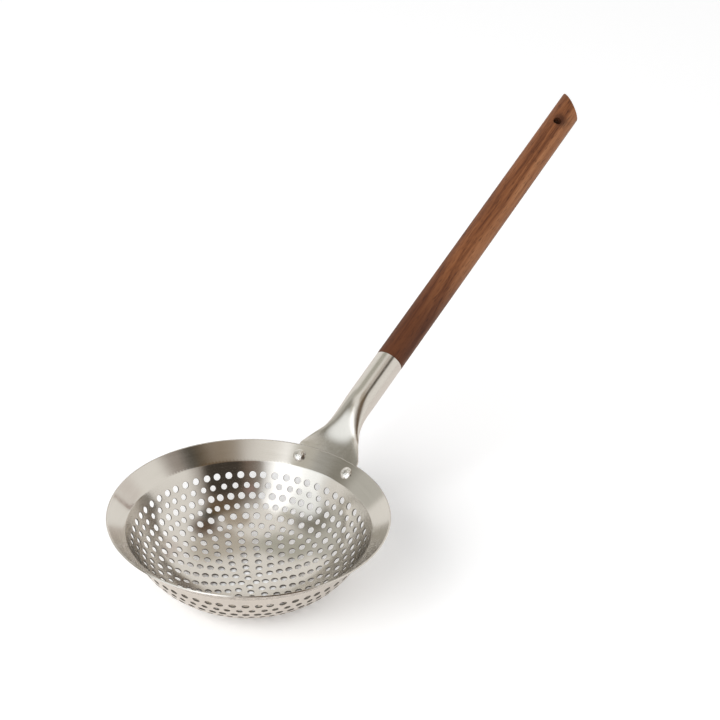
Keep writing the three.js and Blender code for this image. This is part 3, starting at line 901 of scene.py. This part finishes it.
def blend(nodes, share, one, other):
    """Colours mixed by a share, each a colour or a socket."""
    node = nodes.add("ShaderNodeMix", data_type="RGBA")
    for name, value in (("Factor_Float", share), ("A_Color", one), ("B_Color", other)):
        socket = next(item for item in node.inputs if item.identifier == name)
        nodes.put(socket, (*value, 1) if isinstance(value, tuple) else value)
    return next(item for item in node.outputs if item.identifier == "Result_Color")


def bump(nodes, height, distance):
    return nodes.add("ShaderNodeBump", {"Height": height, "Distance": distance}).outputs[0]


def around_axis(nodes, turns, rings):
    """Coordinates that run slowly around Z and fast along the bowl's profile."""
    point = position(nodes)
    level = scaled(nodes, point, (1, 1, 0))
    length = nodes.add("ShaderNodeVectorMath", {0: level}, operation="LENGTH").outputs["Value"]
    unit = nodes.add("ShaderNodeVectorMath", {0: level}, operation="NORMALIZE").outputs[0]
    height = nodes.add("ShaderNodeSeparateXYZ", {0: point}).outputs["Z"]
    run = nodes.math("MULTIPLY", nodes.math("ADD", length, height), rings)
    along = nodes.add("ShaderNodeCombineXYZ", {"Z": run}).outputs[0]
    wide = scaled(nodes, unit, (turns, turns, 0))
    return nodes.add("ShaderNodeVectorMath", {0: wide, 1: along}, operation="ADD").outputs[0]


# Brushing of the bowl: noise that runs slowly around the axis and fast along the profile
FINE_BRUSH = {"turns": 5, "rings": 3000}
BROAD_BRUSH = {"turns": 2.5, "rings": 240}
FINE_BRUSH_SHARE = 0.6
BROAD_BRUSH_SHARE = 0.4
BRUSH_SPAN = (0.25, 0.75)
BRUSH_DEPTH = 0.003 * MM
BRUSH_ANISOTROPY = 0.7
BRUSH_ROTATION = 0.25
BOWL_MARK_SCALE = (45, 45, 45)
BOWL_ROUGHNESS = (0.13, 0.18)
PUNCHED_ROUGHER = 0.3

# Where most of one noise lies, and most of the sum of two
NOISE_SPAN = (0.3, 0.7)
TWO_NOISES_SPAN = (0.7, 1.3)


def bowl_steel():
    """Satin steel, brushed round the bowl's axis, with dull walls in its punched holes, darkened with
    painted shade.
    """
    material, nodes = material_of("bowl_steel")
    fine = noise(nodes, around_axis(nodes, **FINE_BRUSH), detail=3)
    broad = noise(nodes, around_axis(nodes, **BROAD_BRUSH), detail=2)
    marks = noise(nodes, scaled(nodes, position(nodes), BOWL_MARK_SCALE), detail=4)
    brushed = nodes.total(((broad, BROAD_BRUSH_SHARE), (fine, FINE_BRUSH_SHARE)))
    tangent = nodes.add("ShaderNodeTangent", direction_type="RADIAL", axis="Z").outputs[0]
    punched = nodes.add("ShaderNodeAttribute", attribute_name=PUNCHED).outputs["Fac"]
    colour = blend(nodes, spread(nodes, brushed, *BRUSH_SPAN), STEEL_DULL, STEEL)
    satin = spread(nodes, nodes.math("ADD", brushed, marks), *TWO_NOISES_SPAN, *BOWL_ROUGHNESS)
    nodes.surface({
        # The walls of the punched holes get painted shade, a dark colour on top of the rougher cut steel
        "Base Color": blend(nodes, punched, colour, CUT_STEEL_AND_PAINTED_SHADE),
        "Metallic": 1,
        "Roughness": nodes.math("ADD", satin, nodes.math("MULTIPLY", punched, PUNCHED_ROUGHER)),
        "Normal": bump(nodes, brushed, BRUSH_DEPTH),
        "Anisotropic": BRUSH_ANISOTROPY,
        "Anisotropic Rotation": BRUSH_ROTATION,
        "Tangent": tangent,
    })
    return material


# Faint lines along the socket's tube
LINE_SCALE = (1500, 50, 1500)
LINE_DEPTH = 0.0005 * MM
SOCKET_MARK_SCALE = (120, 120, 120)
SOCKET_ROUGHNESS = (0.17, 0.23)


def socket_steel():
    """Satin steel, with faint marks along the tube."""
    material, nodes = material_of("socket_steel")
    lengthways = nodes.add("ShaderNodeMapping", {
        "Vector": position(nodes), "Rotation": (-HANDLE_SLOPE, 0, 0), "Scale": LINE_SCALE,
    }).outputs[0]
    lines = noise(nodes, lengthways, detail=3)
    marks = noise(nodes, scaled(nodes, position(nodes), SOCKET_MARK_SCALE), detail=4)
    nodes.surface({
        "Base Color": blend(nodes, spread(nodes, lines, *NOISE_SPAN), STEEL_DULL, STEEL),
        "Metallic": 1,
        "Roughness": spread(nodes, nodes.math("ADD", lines, marks), *TWO_NOISES_SPAN, *SOCKET_ROUGHNESS),
        "Normal": bump(nodes, lines, LINE_DEPTH),
    })
    return material


# Dents in the rivets
DENT_SCALE = (900, 900, 900)
DENT_SPAN = (0.35, 0.65)
DENT_DEPTH = 0.25 * MM
RIVET_ROUGHNESS = (0.2, 0.1)


def rivet_steel():
    """Polished steel with the shallow dents of the setting tool."""
    material, nodes = material_of("rivet_steel")
    dents = noise(nodes, scaled(nodes, position(nodes), DENT_SCALE), detail=2)
    nodes.surface({
        "Base Color": blend(nodes, spread(nodes, dents, *DENT_SPAN), RIVET_DULL, RIVET_STEEL),
        "Metallic": 1,
        "Roughness": spread(nodes, dents, *NOISE_SPAN, *RIVET_ROUGHNESS),
        "Normal": bump(nodes, dents, DENT_DEPTH),
    })
    return material


# Stain round the hang hole: its middle lies a little off the hole's axis, and its edge is ragged
STAIN_ASIDE = 1.3 * MM
STAIN_BEYOND = 1 * MM
STAIN_RAGGED = 10 * MM
STAIN_SPAN = (6 * MM, 12 * MM)
STAIN_SCALE = (300, 130, 300)
STAIN_SHARE = 0.85


def stain(nodes, point):
    """Share of the stain at a point of the handle."""
    axis = around(1, HANG_HOLE_ROLL, 0)
    middle = around(STAIN_ASIDE, HANG_HOLE_ROLL + pi / 2, HANG_HOLE_PLACE + STAIN_BEYOND)
    offset = nodes.add("ShaderNodeVectorMath", {0: point, 1: middle}, operation="SUBTRACT").outputs[0]
    across = nodes.add("ShaderNodeVectorMath", {0: offset, 1: axis}, operation="CROSS_PRODUCT").outputs[0]
    distance = nodes.add("ShaderNodeVectorMath", {0: across}, operation="LENGTH").outputs["Value"]
    ragged = noise(nodes, scaled(nodes, point, STAIN_SCALE), detail=3)
    distance = nodes.math("ADD", distance, nodes.math("MULTIPLY", ragged, STAIN_RAGGED))
    return spread(nodes, distance, *STAIN_SPAN, STAIN_SHARE, 0)


# Growth layers of the wood: the direction across them, as a roll about the handle, how far the line
# between heartwood and paler wood sways, and how far it lies further out at the handle's lower end
LAYER_ROLL = radians(132)
LAYER_SWAY = 6 * MM
LAYER_SWAY_SCALE = (70, 16, 70)
PALE_SPAN = (LAYER_SWAY / 2 - 1.2 * MM, LAYER_SWAY / 2 + 1.6 * MM)
LOWER_SHIFT = 6 * MM
LOWER_SHIFT_SPAN = (30 * MM, 110 * MM)

# Grain: bands of growth layers, fibres and pores, with what each adds to the tone of the wood
BANDS_ACROSS = 420
BANDS_ALONG = 9
FIBRE_SCALE = (720, 30, 720)
PORE_SCALE = (1900, 170, 1900)
PORE_SPAN = (0.55, 0.7)
PORE_SHARE = 0.6
BAND_TONE = 0.3
FIBRE_TONE = 0.26
PALE_TONE = 0.42
WALNUT_TONES = ((0.02, WALNUT_DARK), (0.3, WALNUT_MIDDLE), (0.7, WALNUT_LIGHT), (1, WALNUT_PALE))
GRAIN_DEPTH = 0.06 * MM

# The handle's lower end is darker, with a swaying border
LOWER_END_SWAY = 60 * MM
LOWER_END_SPAN = (60 * MM, 130 * MM)
LOWER_END_SHARE = 0.7

WOOD_ROUGHNESS = (0.6, 0.48)
WOOD_SPECULAR = 0.22


def wood_tone(nodes, point, sway, fibres):
    """Tone of the wood from dark to pale, by its growth layers and fibres."""
    along = nodes.add("ShaderNodeSeparateXYZ", {0: point}).outputs["Y"]
    across_layers = around(1, LAYER_ROLL, 0)
    layer = nodes.add("ShaderNodeVectorMath", {0: point, 1: across_layers}, operation="DOT_PRODUCT")
    layer = nodes.math("ADD", layer.outputs["Value"], nodes.math("MULTIPLY", sway, LAYER_SWAY))
    layer = nodes.math("SUBTRACT", layer, spread(nodes, along, *LOWER_SHIFT_SPAN, LOWER_SHIFT, 0))
    bands = noise(nodes, nodes.add("ShaderNodeCombineXYZ", {
        "X": nodes.math("MULTIPLY", layer, BANDS_ACROSS), "Y": nodes.math("MULTIPLY", along, BANDS_ALONG),
    }).outputs[0], detail=3)
    return nodes.total((
        (spread(nodes, bands, *NOISE_SPAN), BAND_TONE),
        (spread(nodes, fibres, *NOISE_SPAN), FIBRE_TONE),
        (spread(nodes, layer, *PALE_SPAN), PALE_TONE),
    ))


def lower_end(nodes, point, sway):
    """Share of the darker wood at the handle's lower end."""
    along = nodes.add("ShaderNodeSeparateXYZ", {0: point}).outputs["Y"]
    border = nodes.math("ADD", along, nodes.math("MULTIPLY", sway, LOWER_END_SWAY))
    return spread(nodes, border, *LOWER_END_SPAN, LOWER_END_SHARE, 0)


def handle_wood():
    """Oiled walnut with its grain along the handle, darker at the socket and round the hang hole."""
    material, nodes = material_of("handle_wood")
    point = position(nodes)
    sway = noise(nodes, scaled(nodes, point, LAYER_SWAY_SCALE), detail=3)
    fibres = noise(nodes, scaled(nodes, point, FIBRE_SCALE), detail=5, roughness=0.7)
    pores = spread(nodes, noise(nodes, scaled(nodes, point, PORE_SCALE)), *PORE_SPAN, 0, PORE_SHARE)
    tone = wood_tone(nodes, point, sway, fibres)
    colour = nodes.ramp(tone, WALNUT_TONES)
    colour = blend(nodes, lower_end(nodes, point, sway), colour, WALNUT_DARK)
    colour = blend(nodes, stain(nodes, point), colour, WALNUT_STAIN)
    nodes.surface({
        "Base Color": blend(nodes, pores, colour, WALNUT_PORE),
        "Roughness": spread(nodes, tone, *NOISE_SPAN, *WOOD_ROUGHNESS),
        "Specular IOR Level": WOOD_SPECULAR,
        "Normal": bump(nodes, nodes.math("SUBTRACT", fibres, pores), GRAIN_DEPTH),
    })
    return material


def stand_for(piece, node):
    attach(piece, "root")
    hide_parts(node)


def make_pieces():
    stand_for(make_bowl(bowl_steel()), "bowl")
    stand_for(make_socket(socket_steel()), "handle_socket")
    polished = rivet_steel()
    stand_for(make_rivet("rivet_dome_left", -1, polished), "rivet_left")
    stand_for(make_rivet("rivet_dome_right", 1, polished), "rivet_right")
    stand_for(make_handle(handle_wood()), "wooden_handle")


# Camera: it stands round the rim's middle, turned to the right and up from it as the photo is framed
CAMERA_DISTANCE = 1.2397
CAMERA_ELEVATION = radians(33.567)
CAMERA_AZIMUTH = radians(36.5)
CAMERA_PAN = radians(2.898)
CAMERA_TILT = radians(3.971)
CAMERA_ROLL = radians(0.205)
CAMERA_LENS = 110
CAMERA_SENSOR = 36
RIM_MIDDLE = Vector((0, 0, BOWL_TOP.z))


def make_camera():
    data = bpy.data.cameras.new("photo_camera")
    data.lens = CAMERA_LENS
    data.sensor_width = CAMERA_SENSOR
    camera = bpy.data.objects.new("photo_camera", data)
    bpy.context.scene.collection.objects.link(camera)
    away = Vector((
        cos(CAMERA_ELEVATION) * sin(CAMERA_AZIMUTH),
        -cos(CAMERA_ELEVATION) * cos(CAMERA_AZIMUTH),
        sin(CAMERA_ELEVATION),
    ))
    forward = -away
    right = Vector((cos(CAMERA_AZIMUTH), sin(CAMERA_AZIMUTH), 0))
    up = right.cross(forward)
    pan = Quaternion(up, -CAMERA_PAN)
    forward, right = pan @ forward, pan @ right
    tilt = Quaternion(right, CAMERA_TILT)
    forward, up = tilt @ forward, tilt @ up
    roll = Quaternion(forward, CAMERA_ROLL)
    right, up = roll @ right, roll @ up
    turned = Matrix((right, up, -forward)).transposed().to_4x4()
    camera.matrix_world = Matrix.Translation(RIM_MIDDLE + away * CAMERA_DISTANCE) @ turned
    bpy.context.scene.camera = camera


# Floor: its colour as a lit surface, as the camera sees it and as the steel mirrors it
FLOOR_SIZE = 8
FLOOR_COLOUR = (0.9, 0.9, 0.9)
FLOOR_SEEN_COLOUR = (1.16, 1.16, 1.16)
FLOOR_MIRRORED_COLOUR = (1, 0.96, 0.93)


def make_floor():
    mesh = bpy.data.meshes.new("floor")
    half = FLOOR_SIZE / 2
    corners = [(-half, -half, 0), (half, -half, 0), (half, half, 0), (-half, half, 0)]
    mesh.from_pydata(corners, [], [(0, 1, 2, 3)])
    floor = bpy.data.objects.new("floor", mesh)
    bpy.context.scene.collection.objects.link(floor)
    material, nodes = material_of("pale_floor")
    path = nodes.add("ShaderNodeLightPath").outputs
    colour = blend(nodes, path["Is Glossy Ray"], FLOOR_COLOUR, FLOOR_MIRRORED_COLOUR)
    colour = blend(nodes, path["Is Camera Ray"], colour, FLOOR_SEEN_COLOUR)
    matt = nodes.add("ShaderNodeBsdfDiffuse", {"Color": colour})
    nodes.add("ShaderNodeOutputMaterial", {"Surface": matt.outputs[0]})
    mesh.materials.append(material)
    floor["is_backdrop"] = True


# Light on the object: pale walls all round under a dimmer ceiling, by the sine of the elevation
WALL_LIGHT = (0.92, 0.92, 0.92)
CEILING_LIGHT = (0.3, 0.3, 0.3)
CEILING_SPAN = (0.5, 0.95)
BACKGROUND = (1, 1, 1)

# What the steel mirrors in the studio: soft round fields in the order they are laid over each other.
# Azimuth is from +Y towards +X, and reach and soften are half angles, all in degrees.
Field = namedtuple("Field", "azimuth elevation reach soften colour")
SURROUNDINGS = (0.97, 0.96, 0.93)
FIELDS = {
    "left wall": Field(-104, 30, 23, 3, (0.61, 0.61, 0.57)),
    "softbox": Field(-172, 31, 28, 1, (1.77, 1.84, 1.9)),
    "gap beside the softbox": Field(-133, 39, 17, 8, (0.29, 0.28, 0.24)),
    "ceiling over the handle": Field(2, 64, 18, 7, (0.6, 0.56, 0.49)),
    "beam over the handle": Field(57, 58, 8, 8, (0.11, 0.06, 0.03)),
    "dark panel": Field(85, 54, 7, 6, (0.06, 0.06, 0.05)),
    "beam on the right": Field(110, 50, 10, 11, (0.15, 0.08, 0.01)),
    "dark room behind the camera": Field(126, 29, 26, 16, (0.17, 0.13, 0.1)),
    "door of that room": Field(119, 24, 17, 5, (0.06, 0.05, 0.04)),
    "camera": Field(145, 37, 4, 3, (0.37, 0.26, 0.24)),
    "boom": Field(-155, 55, 4, 6, (0.5, 0.48, 0.4)),
    "ceiling on the left": Field(-79, 61, 16, 6, (0.53, 0.53, 0.47)),
    "dim edge of the softbox": Field(-150, 31, 13, 9, (1.21, 1.27, 1.3)),
    "fold of the backdrop": Field(17, 31, 6, 6, (0.78, 0.73, 0.7)),
    "lamp rail": Field(39, 75, 3, 5, (0.46, 0.4, 0.34)),
    "ceiling on the right": Field(112, 73, 10, 1, (0.51, 0.45, 0.37)),
}


def direction(azimuth, elevation):
    turn, rise = radians(azimuth), radians(elevation)
    return Vector((sin(turn) * cos(rise), cos(turn) * cos(rise), sin(rise)))


def mirrored_studio(nodes):
    """Colour of the studio by direction."""
    ray = nodes.add("ShaderNodeTexCoord").outputs["Generated"]
    colour = SURROUNDINGS
    for field in FIELDS.values():
        middle = direction(field.azimuth, field.elevation)
        near = nodes.add("ShaderNodeVectorMath", {0: ray, 1: middle}, operation="DOT_PRODUCT")
        outer = cos(radians(field.reach + field.soften))
        inner = cos(radians(max(field.reach - field.soften, 0)))
        share = spread(nodes, near.outputs["Value"], outer, inner)
        colour = blend(nodes, share, colour, field.colour)
    return colour


def make_world():
    world = bpy.data.worlds.new("studio")
    bpy.context.scene.world = world
    nodes = Nodes(world)
    path = nodes.add("ShaderNodeLightPath")
    clear = nodes.math("MAXIMUM", path.outputs["Is Camera Ray"], path.outputs["Is Transmission Ray"])
    ray = nodes.add("ShaderNodeTexCoord").outputs["Generated"]
    rise = nodes.add("ShaderNodeSeparateXYZ", {0: ray}).outputs["Z"]
    room = blend(nodes, spread(nodes, rise, *CEILING_SPAN), WALL_LIGHT, CEILING_LIGHT)
    colour = blend(nodes, path.outputs["Is Glossy Ray"], room, mirrored_studio(nodes))
    colour = blend(nodes, clear, colour, BACKGROUND)
    back = nodes.add("ShaderNodeBackground", {"Color": colour, "Strength": 1})
    nodes.add("ShaderNodeOutputWorld", {"Surface": back.outputs[0]})


# Softbox in front of the bowl, to the camera's left. It lights the wood and the floor, and what the
# steel mirrors of it is one of the studio's fields.
SOFTBOX_AZIMUTH = 182
SOFTBOX_ELEVATION = 36
SOFTBOX_DISTANCE = 4
SOFTBOX_WIDTH = 3.2
SOFTBOX_HEIGHT = 2.4
SOFTBOX_POWER = 110


def make_softbox():
    data = bpy.data.lights.new("softbox", "AREA")
    data.shape = "RECTANGLE"
    data.size = SOFTBOX_WIDTH
    data.size_y = SOFTBOX_HEIGHT
    data.energy = SOFTBOX_POWER
    lamp = bpy.data.objects.new("softbox", data)
    away = direction(SOFTBOX_AZIMUTH, SOFTBOX_ELEVATION)
    lamp.location = RIM_MIDDLE + away * SOFTBOX_DISTANCE
    lamp.rotation_mode = "QUATERNION"
    lamp.rotation_quaternion = (-away).to_track_quat("-Z", "Y")
    lamp.visible_glossy = False
    bpy.context.scene.collection.objects.link(lamp)


def write_sizes():
    boxes = {"cad": CAD_BOX, "visual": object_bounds()}
    sizes = {name: [list(corner) for corner in box] for name, box in boxes.items()}


make_pieces()
make_camera()
make_floor()
make_world()
make_softbox()
bpy.context.scene.view_settings.view_transform = "Standard"
write_sizes()
